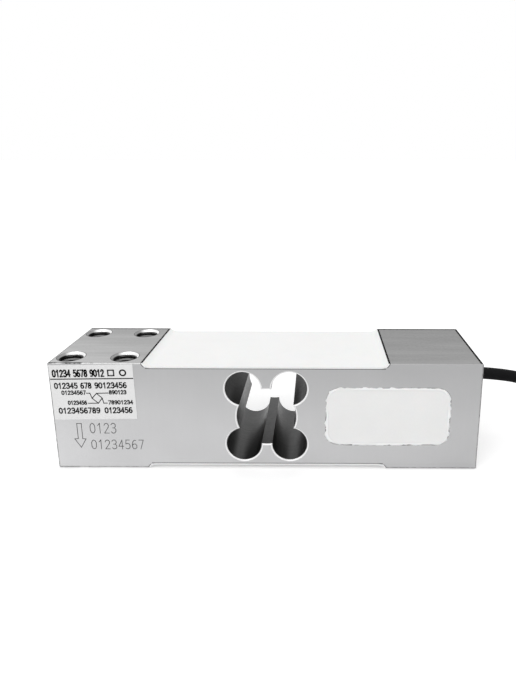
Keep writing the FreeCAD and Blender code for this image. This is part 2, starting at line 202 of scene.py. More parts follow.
def grain(tree, scale, along=(1.0, 1.0, 1.0), detail=3.0):
    inputs = dict(zip(("Scale", "Along X", "Along Y", "Along Z", "Detail"),
                      (scale, *along, detail)))
    return newNode(tree, "ShaderNodeGroup", inputs, node_tree=grainGroup).outputs["Fac"]


def toneShift(tree, base, factor, darkest, lightest):
    inputs = {"Color": base, "Fac": factor, "Darkest": darkest, "Lightest": lightest}
    return newNode(tree, "ShaderNodeGroup", inputs, node_tree=toneGroup).outputs["Color"]


def edgeWearAndShade(tree, wear):
    return newNode(tree, "ShaderNodeGroup", {"Wear": wear}, node_tree=edgeGroup).outputs["Mask"]


def newMaterial(name, shaderValues):
    material = bpy.data.materials.new(name)
    material.use_nodes = True
    tree = material.node_tree
    shader = tree.nodes["Principled BSDF"]
    for key, value in shaderValues.items():
        shader.inputs[key].default_value = value
    return material, tree, shader


def bumpInto(tree, shader, height, strength, distance):
    bump = newNode(tree, "ShaderNodeBump", {"Strength": strength, "Distance": distance,
                                            "Height": height})
    tree.links.new(bump.outputs[0], shader.inputs["Normal"])


finishSettings = {
    "glossSpan": (0.25, 0.75),  # the part of a grain that the roughness follows
    "blotchDetail": 2.0,
    "wear": 0.3,  # of the slanted edges, which show the plain colour
}


def makeFinish(name, settings, marking=None):
    # one colour with its own grain, tone, wear and gloss, and any marking on top
    material, tree, shader = newMaterial(name, settings.get("shader", {}))
    fine = grain(tree, settings["grain"], settings.get("along", (1, 1, 1)))
    broad = grain(tree, settings["blotches"], detail=finishSettings["blotchDetail"])
    tone = toneShift(tree, (*settings["colour"], 1.0), broad, *settings["tone"])
    tone = toneShift(tree, tone, fine, *settings["speckle"])
    worn = mixColour(tree, edgeWearAndShade(tree, finishSettings["wear"]), tone,
                     (*settings["colour"], 1.0))
    marked = marking(tree, worn) if marking else worn
    tree.links.new(marked, shader.inputs["Base Color"])
    gloss = rangeNode(tree, fine, *finishSettings["glossSpan"], *settings["roughness"])
    tree.links.new(gloss, shader.inputs["Roughness"])
    swell = mathNode(tree, "MULTIPLY", broad, settings.get("swell", 1.0))
    mixed = mathNode(tree, "ADD", fine, swell)
    bumpInto(tree, shader, mixed, settings["bump"], settings["depth"] * mm)
    return material


# finishes

finishes = {
    "whiteSilicone": {
        "colour": (0.86, 0.86, 0.855), "tone": (0.975, 1.0), "speckle": (0.985, 1.0),
        "grain": 1400, "blotches": 90, "roughness": (0.42, 0.55), "bump": 0.12, "depth": 0.05,
        "swell": 3.0, "shader": {"Subsurface Weight": 0.05, "Subsurface Scale": 0.001},
    },
    "labelFilm": {
        "colour": (0.80, 0.80, 0.80), "tone": (0.98, 1.0), "speckle": (0.98, 1.0),
        "grain": 2600, "blotches": 160, "roughness": (0.3, 0.42), "bump": 0.08, "depth": 0.02,
        "swell": 2.0,
    },
    "printInk": {
        "colour": (0.012, 0.012, 0.013), "tone": (0.8, 1.3), "speckle": (0.8, 1.4),
        "grain": 5000, "blotches": 800, "roughness": (0.35, 0.5), "bump": 0.1, "depth": 0.01,
    },
    "etchedMetal": {
        "colour": (0.1, 0.1, 0.1), "tone": (0.85, 1.15), "speckle": (0.7, 1.3),
        "grain": 6000, "blotches": 700, "roughness": (0.5, 0.7), "bump": 0.35, "depth": 0.03,
        "shader": {"Metallic": 0.6},
    },
    # a dark colour as painted shade on the threads deep in the tapped holes
    "shadedThreadCut": {
        "colour": (0.14, 0.14, 0.14), "tone": (0.85, 1.1), "speckle": (0.85, 1.15),
        "grain": 2200, "blotches": 500, "roughness": (0.25, 0.4), "bump": 0.2, "depth": 0.02,
        "shader": {"Metallic": 1.0},
    },
    "cableJacket": {
        "colour": (0.006, 0.006, 0.0065), "tone": (0.8, 1.35), "speckle": (0.85, 1.3),
        "grain": 1800, "blotches": 70, "roughness": (0.5, 0.65), "bump": 0.18, "depth": 0.04,
        "swell": 1.5, "shader": {"Specular IOR Level": 0.06},
    },
    "cableShield": {
        "colour": (0.62, 0.62, 0.63), "tone": (0.8, 1.05), "speckle": (0.75, 1.1),
        "grain": 3000, "blotches": 600, "roughness": (0.25, 0.5), "bump": 0.5, "depth": 0.05,
        "shader": {"Metallic": 1.0},
    },
    "tinnedCopper": {
        "colour": (0.66, 0.65, 0.63), "tone": (0.8, 1.05), "speckle": (0.8, 1.1),
        "grain": 4000, "blotches": 900, "roughness": (0.22, 0.4), "bump": 0.2, "depth": 0.02,
        "shader": {"Metallic": 1.0},
    },
    "bareCopper": {
        "colour": (0.72, 0.36, 0.2), "tone": (0.75, 1.1), "speckle": (0.85, 1.1),
        "grain": 3500, "blotches": 500, "roughness": (0.25, 0.42), "bump": 0.2, "depth": 0.02,
        "shader": {"Metallic": 1.0},
    },
    "gaugeFilm": {
        "colour": (0.62, 0.33, 0.07), "tone": (0.85, 1.1), "speckle": (0.92, 1.05),
        "grain": 3000, "blotches": 500, "roughness": (0.25, 0.4), "bump": 0.1, "depth": 0.01,
    },
    "ribbonPlastic": {
        "colour": (0.3, 0.32, 0.35), "tone": (0.85, 1.1), "speckle": (0.92, 1.06),
        "grain": 2600, "blotches": 400, "roughness": (0.35, 0.5), "bump": 0.15, "depth": 0.02,
        "along": (6.0, 1.0, 1.0),
    },
    "circuitBoard": {
        "colour": (0.012, 0.1, 0.035), "tone": (0.8, 1.25), "speckle": (0.9, 1.1),
        "grain": 2400, "blotches": 260, "roughness": (0.22, 0.35), "bump": 0.15, "depth": 0.02,
    },
    "adhesiveFoam": {
        "colour": (0.68, 0.66, 0.58), "tone": (0.88, 1.05), "speckle": (0.75, 1.08),
        "grain": 3200, "blotches": 500, "roughness": (0.75, 0.95), "bump": 0.5, "depth": 0.1,
    },
    "resistorGlaze": {
        "colour": (0.02, 0.02, 0.024), "tone": (0.8, 1.3), "speckle": (0.85, 1.2),
        "grain": 4200, "blotches": 900, "roughness": (0.2, 0.35), "bump": 0.15, "depth": 0.01,
    },
}
coreColours = {
    "red": (0.5, 0.01, 0.008),
    "black": (0.012, 0.012, 0.013),
    "green": (0.01, 0.16, 0.03),
    "white": (0.76, 0.76, 0.74),
    "drain": (0.45, 0.42, 0.02),
}
for coreName, coreColour in coreColours.items():
    finishes["core" + coreName.capitalize()] = {
        "colour": coreColour, "tone": (0.88, 1.1), "speckle": (0.93, 1.06), "grain": 2600,
        "blotches": 300, "roughness": (0.28, 0.42), "bump": 0.12, "depth": 0.02,
    }
materials = {name: makeFinish(name, settings) for name, settings in finishes.items()}


# the milled block: its finish, with painted shade and painted highlights, follows where on the
# block a place lies; sizes in mm

aluminiumSettings = {
    # grey levels, many of them painted shade and painted highlights
    "face": 0.52,
    "blue": 1.01,
    "loadPad": 0.425,
    "fixedPad": 0.27,
    # painted shade inside the bores through the width
    "bore": 0.075,
    "upperBoreShade": 0.45,  # share of the bore's level, in the painted shade of the upper lobes
    "rightBoreShade": 0.2,
    # painted shade in the tapped holes and painted highlights on their countersinks
    "holeShade": 0.05,
    "countersinkHighlight": 0.9,
    "coneShade": 0.3,
    # painted shade on the broken edges, and painted light along their front
    "edge": 0.03,
    "frontEdgeLight": 0.38,
    # painted highlight on the deburred rims
    "rimHighlight": 0.95,
    # painted shade along the recess edges and in their hollow ends
    "cutEdgeShade": 0.12,
    # painted shade lines along the edges of the pads and the faces
    "edgeLine": 0.035,
    "faceShadeLine": 0.24,
    # painted shade round the pocket's filling
    "gapShadeLine": 0.1,
    "boreTint": 0.58,  # painted shade on what the upper lobes mirror at a flat angle
    # painted shade on what the pads mirror along their edge lines
    "lineShadeTint": 0.3,
    "rimMetallic": 0.1,
    "roughness": (0.3, 0.7, 0.32, 0.44),  # of the fine grain
    # scale, stretch and detail of each grain, and the tones that it gives
    "grains": {
        "broad": (26, (1.0, 1.0, 1.0), 2.0),
        "fine": (900, (1.0, 1.0, 1.0), 4.0),
        "cutter": (260, (3.0, 1.0, 0.3), 4.0),
        "lengthwise": (420, (0.06, 4.0, 4.0), 5.0),
        "streaks": (90, (0.2, 1.6, 1.0), 3.0),
        "rings": (500, (0.2, 5.0, 0.2), 4.0),
        "chips": (700, (1.0, 1.0, 1.0), 2.0),
        "nicks": (160, (1.0, 1.0, 1.0), 2.0),
        "gaps": (65, (1.0, 1.0, 1.0), 2.0),
    },
    "tones": {
        "broad": (0.965, 1.035),
        "fine": (0.985, 1.015),
        "cutter": (0.993, 1.007),
        "lengthwise": (0.94, 1.06),
        "streaks": (0.88, 1.1),
        "rings": (0.85, 1.15),
    },
    "cutterTraces": 0.3,  # share in the height of the surface
    "fineTraces": 0.6,
    "bump": (0.2, 0.02),
    # how squarely a face looks along an axis
    "squarely": (0.85, 0.95),
    "outwards": (0.4, 0.6),
    "sideways": (0.5, 0.2),
    # from, to, and the shares at both ends
    # painted shade on the faces towards the top and the right
    "faceShadeUpwards": (22.0, 38.0, 1.0, 0.93),
    "faceShadeRightwards": (-20.0, 50.0, 1.0, 0.95),
    "padRightwards": (-75.0, 42.0),
    # painted shade on the pads towards the back
    "padShadeBackwards": (-19.0, 19.0, 1.12, 0.84),
    # painted shade as dark lines along the edges, and where each starts or ends
    "endLine": 74.5,
    "fixedEndLine": 73.95,
    "rearLine": 17.75,
    "recessShadeLine": 42.95,
    "bottomLine": 19.45,
    "cornerLine": 18.5,
    "padTop": 19.5,  # from the middle height
    "padChips": (0.3, 0.5, 0.75, 1.0),
    "faceChips": (0.35, 0.55, 0.35, 1.0),
    "nickDepth": (0.42, 0.5),
    "nickRun": (-58.0, -64.0),
    "nickEdge": (-18.1, -18.4),
    "frontRun": (-18.6, -18.8),
    # pocket: middle, half sizes and corner, and the band of painted shade round its filling
    "pocket": (42.65, 20.2, 21.65, 10.8, 4.75),
    "pocketGapShade": (-0.4, 0.22),
    "gapBreaks": (0.5, 0.58, 0.12, 0.9),
    # recesses
    "middle": 20.0,
    "recessHalf": 41.4,
    "recessEdge": 18.1,  # from the middle height
    "cutEdgeHalf": 0.15,
    "recessEnd": (39.65, 21.2, 3.0),  # middle of the hollow end, and its radius
    "recessStep": 18.5,
    # widths of the painted shade and the painted highlight at the recess ends
    "stepShade": 0.5,
    "stepRim": 0.2,
    # cut-out
    "lobes": (8.1, 10.55, 6.6),  # across, up and radius, with the rim
    "centreBore": 10.85,
    "cutOutHalf": (15.2, 17.6),
    "rimWidth": 0.08,
    "upperLobes": (22.0, 28.0),
    "rightLobe": (0.0, 6.0),
    # tapped holes
    "holeRows": (50.25, 69.3),
    "holeColumn": 12.7,
    "holeMouth": (4.2, 4.1),
    "cone": (4.75, 4.72),
    "coneRing": 4.9,
    "wallTop": (18.5, 18.8),
    "rearShare": 0.5,  # how much the rear counts beside the right
    "litFrom": (-2.2, 0.2),
}


softEdge = 0.1  # mm over which a mask fades out


def within(tree, distance, limit):
    # 1 up to the limit, and 0 just beyond it
    return rangeNode(tree, distance, (limit + softEdge) * mm, limit * mm)


def beyond(tree, distance, limit):
    return rangeNode(tree, distance, limit * mm, (limit + softEdge) * mm)


def overSpan(tree, distance, span):
    return rangeNode(tree, distance, span[0] * mm, span[1] * mm, *span[2:])


def product(tree, *values):
    result = values[0]
    for value in values[1:]:
        result = mathNode(tree, "MULTIPLY", result, value)
    return result


def largest(tree, *values):
    result = values[0]
    for value in values[1:]:
        result = mathNode(tree, "MAXIMUM", result, value)
    return result


def absolute(tree, value):
    return mathNode(tree, "ABSOLUTE", value)


def less(tree, value, distance):
    return mathNode(tree, "SUBTRACT", value, distance * mm)


def radiusNode(tree, a, b):
    return mathNode(tree, "SQRT", mathNode(tree, "ADD", product(tree, a, a), product(tree, b, b)))


def fromCutOut(tree, at, settings):
    # distance outside the rim of the centre bore and its four lobes
    across, up, radius = settings["lobes"]
    toLobe = radiusNode(tree, less(tree, at["absX"], across), less(tree, at["offMiddle"], up))
    toCentre = radiusNode(tree, at["absX"], at["offMiddle"])
    return mathNode(tree, "MINIMUM", less(tree, toLobe, radius),
                    less(tree, toCentre, settings["centreBore"]))


def fromPocket(tree, x, z, settings):
    # distance outside the rounded mouth of the side pocket
    middleX, middleZ, halfX, halfZ, corner = settings["pocket"]
    outX = less(tree, absolute(tree, less(tree, x, middleX)), halfX - corner)
    outZ = less(tree, absolute(tree, less(tree, z, middleZ)), halfZ - corner)
    outside = radiusNode(tree, mathNode(tree, "MAXIMUM", outX, 0.0),
                         mathNode(tree, "MAXIMUM", outZ, 0.0))
    return less(tree, outside, corner)


def readPlace(tree, settings):
    place = objectPlace(tree)[1]
    normal = newNode(tree, "ShaderNodeTexCoord").outputs["Normal"]
    facing = newNode(tree, "ShaderNodeSeparateXYZ", {0: normal}).outputs
    turned = [absolute(tree, facing[axis]) for axis in range(3)]
    return {
        "x": place[0],
        "y": place[1],
        "z": place[2],
        "absX": absolute(tree, place[0]),
        "absY": absolute(tree, place[1]),
        "offMiddle": absolute(tree, less(tree, place[2], settings["middle"])),
        "isEnd": rangeNode(tree, turned[0], *settings["squarely"]),
        "isFront": rangeNode(tree, turned[1], *settings["squarely"]),
        "isTop": rangeNode(tree, turned[2], *settings["squarely"]),
        "outwards": rangeNode(tree, turned[1], *settings["outwards"]),
        "sideways": rangeNode(tree, turned[1], *settings["sideways"]),
    }


def shadedSatinFace(tree, at, grains, settings):
    # the front, the back and the ends, with painted shade towards the top and the right
    level = product(tree, overSpan(tree, at["z"], settings["faceShadeUpwards"]),
                    overSpan(tree, at["x"], settings["faceShadeRightwards"]))
    base = grey(settings["face"], settings["blue"])
    face = toneShift(tree, base, grains["broad"], *settings["tones"]["broad"])
    face = scaleColour(tree, face, level)
    for name in ("cutter", "fine"):
        face = toneShift(tree, face, grains[name], *settings["tones"][name])
    return face


def brushedPad(tree, at, grains, settings):
    # lengthwise brushing, with painted shade towards the back, and darker towards the fixed end
    pad = mixColour(tree, overSpan(tree, at["x"], settings["padRightwards"]),
                    grey(settings["loadPad"]), grey(settings["fixedPad"]))
    pad = scaleColour(tree, pad, overSpan(tree, at["y"], settings["padShadeBackwards"]))
    for name in ("lengthwise", "streaks"):
        pad = toneShift(tree, pad, grains[name], *settings["tones"][name])
    return pad


def padShadeLines(tree, at, grains, nicks, settings):
    # painted shade lines along the ends, the rear edge and the recess, with nicks at the front left
    line = largest(tree, beyond(tree, at["x"], settings["fixedEndLine"]),
                   beyond(tree, at["y"], settings["rearLine"]),
                   beyond(tree, at["absX"], settings["endLine"]),
                   within(tree, at["absX"], settings["recessShadeLine"]))
    line = product(tree, line, rangeNode(tree, grains["chips"], *settings["padChips"]))
    return largest(tree, line, product(tree, nicks, overSpan(tree, at["y"], settings["nickEdge"])))


def faceShadeLines(tree, at, grains, settings):
    # painted shade lines along the bottom and the upright edges
    down = mathNode(tree, "SUBTRACT", settings["middle"] * mm, at["z"])
    bottom = beyond(tree, down, settings["bottomLine"])
    side = largest(tree, beyond(tree, at["absX"], settings["endLine"]), bottom)
    end = largest(tree, beyond(tree, at["absY"], settings["cornerLine"]), bottom)
    line = largest(tree, product(tree, side, at["isFront"]), product(tree, end, at["isEnd"]))
    return product(tree, line, rangeNode(tree, grains["chips"], *settings["faceChips"]))


def pocketGapShade(tree, at, grains, settings):
    # painted shade, here and there round the pocket's filling, on the front only
    outside = fromPocket(tree, at["x"], at["z"], settings)
    inner, outer = settings["pocketGapShade"]
    return product(tree, within(tree, outside, outer), beyond(tree, outside, inner),
                   mathNode(tree, "LESS_THAN", at["y"], 0.0),
                   rangeNode(tree, grains["gaps"], *settings["gapBreaks"]))


def recessShadeLine(tree, at, settings):
    # painted shade along the long cut edges of the two recesses
    half = settings["cutEdgeHalf"]
    away = absolute(tree, less(tree, at["offMiddle"], settings["recessEdge"]))
    line = overSpan(tree, away, (half + softEdge / 2, half - softEdge / 2))
    return product(tree, line, within(tree, at["absX"], settings["recessHalf"]), at["isFront"])


def tappedHoles(tree, skin, at, settings):
    # painted highlights on the countersinks, painted shade towards their left and front, and
    # painted shade on the walls below
    near, far = settings["holeRows"]
    fromPair = less(tree, at["absX"], (near + far) / 2)
    toRow = less(tree, absolute(tree, fromPair), (far - near) / 2)
    toColumn = less(tree, at["absY"], settings["holeColumn"])
    away = radiusNode(tree, toRow, toColumn)
    alongX = product(tree, toRow, mathNode(tree, "SIGN", fromPair), mathNode(tree, "SIGN", at["x"]))
    alongY = product(tree, toColumn, mathNode(tree, "SIGN", at["y"]), settings["rearShare"])
    lit = overSpan(tree, mathNode(tree, "ADD", alongX, alongY), settings["litFrom"])
    # from above at the load end, from below at the fixed end
    upper = mathNode(tree, "GREATER_THAN", at["z"], settings["middle"] * mm)
    loadEnd = mathNode(tree, "LESS_THAN", at["x"], 0.0)
    drilled = mathNode(tree, "COMPARE", upper, loadEnd)
    # painted shade as a dark ring round each countersink
    ring = product(tree, within(tree, away, settings["coneRing"]), at["isTop"], drilled)
    skin = mixColour(tree, ring, skin, grey(settings["edge"]))
    cone = mixColour(tree, lit, grey(settings["coneShade"]), grey(settings["countersinkHighlight"]))
    onCone = product(tree, overSpan(tree, away, settings["cone"]), drilled)
    skin = mixColour(tree, onCone, skin, cone)
    # painted highlight at the top of the far walls
    high = overSpan(tree, at["offMiddle"], settings["wallTop"])
    holeWallShading = mixColour(tree, product(tree, lit, high), grey(settings["holeShade"]),
                     grey(settings["countersinkHighlight"]))
    inHole = product(tree, overSpan(tree, away, settings["holeMouth"]), drilled)
    return mixColour(tree, inHole, skin, holeWallShading)


def makeAluminium(settings):
    material, tree, shader = newMaterial("aluminiumWithPaintedLight", {})
    at = readPlace(tree, settings)
    grains = {name: grain(tree, *values) for name, values in settings["grains"].items()}

    # faces and pads with painted shade lines along their edges
    nicks = product(tree, rangeNode(tree, grains["nicks"], *settings["nickDepth"]),
                    overSpan(tree, at["x"], settings["nickRun"]))
    padShadeLine = padShadeLines(tree, at, grains, nicks, settings)
    pad = mixColour(tree, padShadeLine, brushedPad(tree, at, grains, settings),
                    grey(settings["edgeLine"]))
    face = mixColour(tree, faceShadeLines(tree, at, grains, settings),
                     shadedSatinFace(tree, at, grains, settings), grey(settings["faceShadeLine"]))
    face = mixColour(tree, pocketGapShade(tree, at, grains, settings), face, grey(settings["gapShadeLine"]))
    skin = mixColour(tree, at["isTop"], face, pad)
    skin = mixColour(tree, recessShadeLine(tree, at, settings), skin, grey(settings["cutEdgeShade"]))

    # painted shade on the broken outer edges, with painted light along the front where they aren't
    # nicked
    front = product(tree, overSpan(tree, at["y"], settings["frontRun"]),
                    mathNode(tree, "SUBTRACT", 1.0, nicks))
    edgeShading = mixColour(tree, front, grey(settings["edge"]), grey(settings["frontEdgeLight"]))
    skin = mixColour(tree, edgeWearAndShade(tree, 1.0), skin, edgeShading)

    # painted shade in the hollow ends of the recesses, and painted highlights on the deburred rims
    endX, endUp, endRadius = settings["recessEnd"]
    toEnd = radiusNode(tree, less(tree, at["absX"], endX), less(tree, at["offMiddle"], endUp))
    toEnd = less(tree, toEnd, endRadius)
    atStep = product(tree, beyond(tree, at["absX"], endX),
                     beyond(tree, at["offMiddle"], settings["recessStep"]), at["outwards"])
    step = product(tree, within(tree, toEnd, settings["stepShade"]), atStep)
    skin = mixColour(tree, step, skin, grey(settings["cutEdgeShade"]))
    highlightedRim = product(tree, within(tree, fromCutOut(tree, at, settings), settings["rimWidth"]),
                  at["outwards"])
    highlightedRim = largest(tree, highlightedRim, product(tree, within(tree, toEnd, settings["stepRim"]), atStep))
    skin = mixColour(tree, highlightedRim, skin, grey(settings["rimHighlight"]))

    # the bores through the width get painted shade over a reamed grain, darkest in the upper lobes
    # and towards the right of them
    halfX, halfZ = settings["cutOutHalf"]
    inside = product(tree, within(tree, at["absX"], halfX), within(tree, at["offMiddle"], halfZ),
                     at["sideways"])
    upper = overSpan(tree, at["z"], settings["upperLobes"])
    shadedBoreWall = toneShift(tree, grey(settings["bore"]), grains["rings"], *settings["tones"]["rings"])
    shaded = mixColour(tree, overSpan(tree, at["x"], settings["rightLobe"]),
                       grey(settings["bore"] * settings["upperBoreShade"]),
                       grey(settings["bore"] * settings["rightBoreShade"]))
    shadedBoreWall = mixColour(tree, upper, shadedBoreWall, shaded)
    skin = tappedHoles(tree, mixColour(tree, inside, skin, shadedBoreWall), at, settings)
    tree.links.new(skin, shader.inputs["Base Color"])

    # painted shade in what the upper lobes and the pad edge lines mirror
    mirroredShade = mixColour(tree, product(tree, inside, upper), grey(1.0), grey(settings["boreTint"]))
    onPad = product(tree, padShadeLine, at["isTop"], beyond(tree, at["offMiddle"], settings["padTop"]))
    mirroredShade = mixColour(tree, onPad, mirroredShade, grey(settings["lineShadeTint"]))
    tree.links.new(mirroredShade, shader.inputs["Specular Tint"])

    # the painted highlight on the deburred rims is matt
    tree.links.new(rangeNode(tree, highlightedRim, 0.0, 1.0, 1.0, settings["rimMetallic"]),
                   shader.inputs["Metallic"])
    tree.links.new(rangeNode(tree, grains["fine"], *settings["roughness"]),
                   shader.inputs["Roughness"])
    cuts = product(tree, grains["cutter"], settings["cutterTraces"])
    brushing = product(tree, grains["lengthwise"], at["isTop"])
    satin = product(tree, grains["fine"], settings["fineTraces"])
    traces = mathNode(tree, "ADD", cuts, mathNode(tree, "ADD", brushing, satin))
    strength, depth = settings["bump"]
    bumpInto(tree, shader, traces, strength, depth * mm)
    return material


lipSettings = {
    "breaks": (0.4, 0.55),
    "grain": 150,
    "detail": 2.0,
    # painted shade inside and painted highlight outside the filling's edge
    "shadedBand": (-1.3, -0.7),
    "highlightBand": (-0.7, -0.5),
    "shade": 0.79,
    "light": 0.93,
}


def fillingLipShading(tree, tone):
    # the filling's edge stands up a little, with a painted highlight outside and painted shade
    # inside
    settings = lipSettings
    parts = objectPlace(tree)[1]
    outside = fromPocket(tree, parts[0], parts[2], aluminiumSettings)
    spots = grain(tree, settings["grain"], detail=settings["detail"])
    broken = rangeNode(tree, spots, *settings["breaks"])
    shaded = product(tree, overSpan(tree, outside, settings["shadedBand"]), broken)
    tone = mixColour(tree, shaded, tone, grey(settings["shade"]))
    lipHighlight = product(tree, overSpan(tree, outside, settings["highlightBand"]), broken)
    return mixColour(tree, lipHighlight, tone, grey(settings["light"]))


materials["aluminiumWithPaintedLight"] = makeAluminium(aluminiumSettings)
materials["pocketSiliconeShaded"] = makeFinish("pocketSiliconeShaded", finishes["whiteSilicone"],
                                         fillingLipShading)
print("finishes made:", len(materials))


# shape helpers; sizes in mm


def addPiece(name, data, finish, replaced=()):
    piece = newObject(name, data)
    data.materials.clear()
    data.materials.append(materials[finish])
    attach(piece, "root")
    if replaced:
        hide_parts(*replaced)
    return piece


weldDistance = 1e-7  # m


def meshFrom(name, points, faces, smooth=True):
    data = bpy.data.meshes.new(name)
    data.from_pydata([Vector(p) * mm for p in points], [], faces)
    data.validate()
    data.update()
    shape = bmesh.new()
    shape.from_mesh(data)
    bmesh.ops.remove_doubles(shape, verts=shape.verts, dist=weldDistance)
    bmesh.ops.recalc_face_normals(shape, faces=shape.faces)
    shape.to_mesh(data)
    shape.free()
    if smooth:
        data.polygons.foreach_set("use_smooth", [True] * len(data.polygons))
    return data


def newCurve(name, radius, roundness):
    curve = bpy.data.curves.new(name, "CURVE")
    curve.dimensions = "3D"
    curve.bevel_depth = radius * mm
    curve.bevel_resolution = roundness
    curve.use_fill_caps = True
    return curve


def splineCurve(name, points, radius, resolution, roundness):
    curve = newCurve(name, radius, roundness)
    curve.resolution_u = resolution
    spline = curve.splines.new("NURBS")
    spline.points.add(len(points) - 1)
    for point, place in zip(spline.points, points):
        point.co = (*(Vector(place) * mm), 1.0)
    spline.order_u = 3
    spline.use_endpoint_u = True
    return curve


# cable: out of the fixed end, down to the surface, and two turns and a quarter of stored lead

cableSettings = {
    "diameter": 4.6,
    "exit": (75.0, 2.0, 28.5),
    "route": [(62.5, 2.0, 28.5), (83.2, 2.0, 28.5), (103.7, 3.2, 24.2), (117.0, 5.8, 13.4),
              (131.0, 8.0, 6.9)],
    "coilCentre": (143.0, -15.0),
    "coilRadius": 23.0,
    "turns": 2.25,
    "pointsPerTurn": 24,
    "stepDown": 270,  # degrees, where the upper turn starts down to the surface
    "stepOut": 630,  # where the lead starts to move out beside the turn before
    "smoothness": (6, 7),  # along and round
    "length": 0.418,  # m
}


def coilPoints(settings):
    step = 360 / settings["pointsPerTurn"]
    grow = 1 / math.cos(math.radians(step / 2))  # the spline runs just inside its points
    centreX, centreY = settings["coilCentre"]
    size, points = settings["diameter"], []
    for i in range(int(settings["turns"] * settings["pointsPerTurn"])):
        angle = (i + 0.5) * step
        radius, height = settings["coilRadius"], size / 2
        down, out = angle - settings["stepDown"], angle - settings["stepOut"]
        if down < 0:
            height += size
        elif down < 90:
            height += size * math.cos(math.radians(down))
        elif out > 90:
            radius += size
        elif out > 0:
            radius += size * math.sin(math.radians(out))
        turned = math.radians(angle)
        points.append((centreX + radius * grow * math.sin(turned),
                       centreY + radius * grow * math.cos(turned), height))
    points.append((centreX + settings["coilRadius"] + size, centreY, size / 2))
    return points


coreSettings = {
    "diameter": 1.1,
    "drainDiameter": 0.8,
    "offset": 0.75,
    "straightRun": 4.0,
    "touchDown": 14.0,
    "reach": 20.0,
    "shiftAtTouchDown": 1.5,
    "shiftAtReach": 1.8,
    "stepAtTouchDown": 1.75,
    "stepAtReach": 3.2,
    "lift": 0.05,
    "smoothness": (16, 4),
    "tipLength": 5.0,
    "tipSink": 0.3,
    "tipTwist": 0.55,  # turns
    "tipSteps": 8,
    "strands": 7,
    "strandRadius": 0.1,
    "strandRoundness": 2,
    "order": {"red": (1, 1, 0), "black": (1, -1, 1), "drain": (0, 0, 2), "green": (-1, -1, 3),
              "white": (-1, 1, 4)},
}


def freeCorePoints(name, settings, end):
    side, up, place = settings["order"][name]
    diameter = settings["drainDiameter"] if name == "drain" else settings["diameter"]
    rest = diameter / 2 + settings["lift"]
    x, y, z = end
    startX, startZ = x + side * settings["offset"], z + up * settings["offset"]
    return diameter, [
        (startX, y, startZ),
        (startX, y - settings["straightRun"], startZ),
        (x + settings["shiftAtTouchDown"] - settings["stepAtTouchDown"] * place,
         y - settings["touchDown"], rest),
        (x + settings["shiftAtReach"] - settings["stepAtReach"] * place,
         y - settings["reach"], rest),
    ]


def strandTip(name, start, heading, settings):
    # six tinned strands with a slight twist round a straight one
    heading = heading.normalized()
    across = heading.cross(Vector((0, 0, 1))).normalized()
    up = across.cross(heading)
    curve = newCurve(name, settings["strandRadius"], settings["strandRoundness"])
    steps, outer = settings["tipSteps"], settings["strands"] - 1
    for strand in range(settings["strands"]):
        spline = curve.splines.new("POLY")
        spline.points.add(steps)
        for i in range(steps + 1):
            along = i / steps
            angle = math.tau * (strand / outer + settings["tipTwist"] * along)
            out = 0.0 if strand == outer else 2 * settings["strandRadius"]
            place = (start + heading * (settings["tipLength"] * along - settings["tipSink"])
                     + across * (out * math.cos(angle)) + up * (out * math.sin(angle)))
            spline.points[i].co = (*(place * mm), 1.0)
    return curve


shieldSettings = {
    "profile": [(1.66, 1.0), (1.78, 1.0), (1.78, -1.9), (1.66, -2.1)],  # radius, along
    "steps": 36,
    "folds": 5,
    "foldDepth": 0.05,
    "tornDepth": 4,  # times the fold
}


def makeShieldEnd(end, settings):
    # foil wrap that stands a little out of the jacket
    x, y, z = end
    points, faces = [], []
    profile, count = settings["profile"], settings["steps"]
    for i in range(count):
        turned = math.tau * i / count
        fold = settings["foldDepth"] * math.sin(settings["folds"] * turned)
        for radius, along in profile:
            torn = fold * settings["tornDepth"] if along < 0 else 0
            points.append((x + (radius + fold) * math.cos(turned), y + along + torn,
                           z + (radius + fold) * math.sin(turned)))
    size = len(profile)
    for i in range(count):
        for k in range(size):
            a, b = i * size + k, i * size + (k + 1) % size
            c, d = ((i + 1) % count) * size + (k + 1) % size, ((i + 1) % count) * size + k
            faces.append((a, b, c, d))
    return meshFrom("cable_shield_end", points, faces)


cablePoints = cableSettings["route"] + coilPoints(cableSettings)
cableEnd = Vector(cablePoints[-1])
cableCurve = splineCurve("cable_lead", cablePoints, cableSettings["diameter"] / 2,
                         *cableSettings["smoothness"])
cable = addPiece("cable_lead", cableCurve, "cableJacket", ("cable", "cable_coil"))
onCable = [addPiece("cable_shield_end", makeShieldEnd(cableEnd, shieldSettings), "cableShield")]
for coreName in coreSettings["order"]:
    coreDiameter, corePoints = freeCorePoints(coreName, coreSettings, cableEnd)
    coreCurve = splineCurve(f"core_{coreName}", corePoints, coreDiameter / 2,
                            *coreSettings["smoothness"])
    onCable.append(addPiece(f"core_{coreName}", coreCurve, "core" + coreName.capitalize(),
                            (f"core_{coreName}_free_end",)))
    last = Vector(corePoints[-1])
    tip = strandTip(f"core_{coreName}_tip", last, last - Vector(corePoints[-2]), coreSettings)
    onCable.append(addPiece(f"core_{coreName}_tip", tip, "tinnedCopper"))
print("cable made:", len(cablePoints), "points")


# screw threads in the eight tapped holes

threadSettings = {
    "outer": 4.03,
    "crest": 3.36,
    "pitch": 1.25,
    "halfRoot": 0.53,
    "halfCrest": 0.08,
    "perTurn": 40,
    "runOut": 14,  # steps in which the ridge fades at each end
    "rows": (50.25, 69.3),  # distance of the hole rows from the middle
    "columns": (-12.7, 12.7),
    "loadSpan": (25.2, 38.85),
    "fixedSpan": (1.15, 6.7),
}


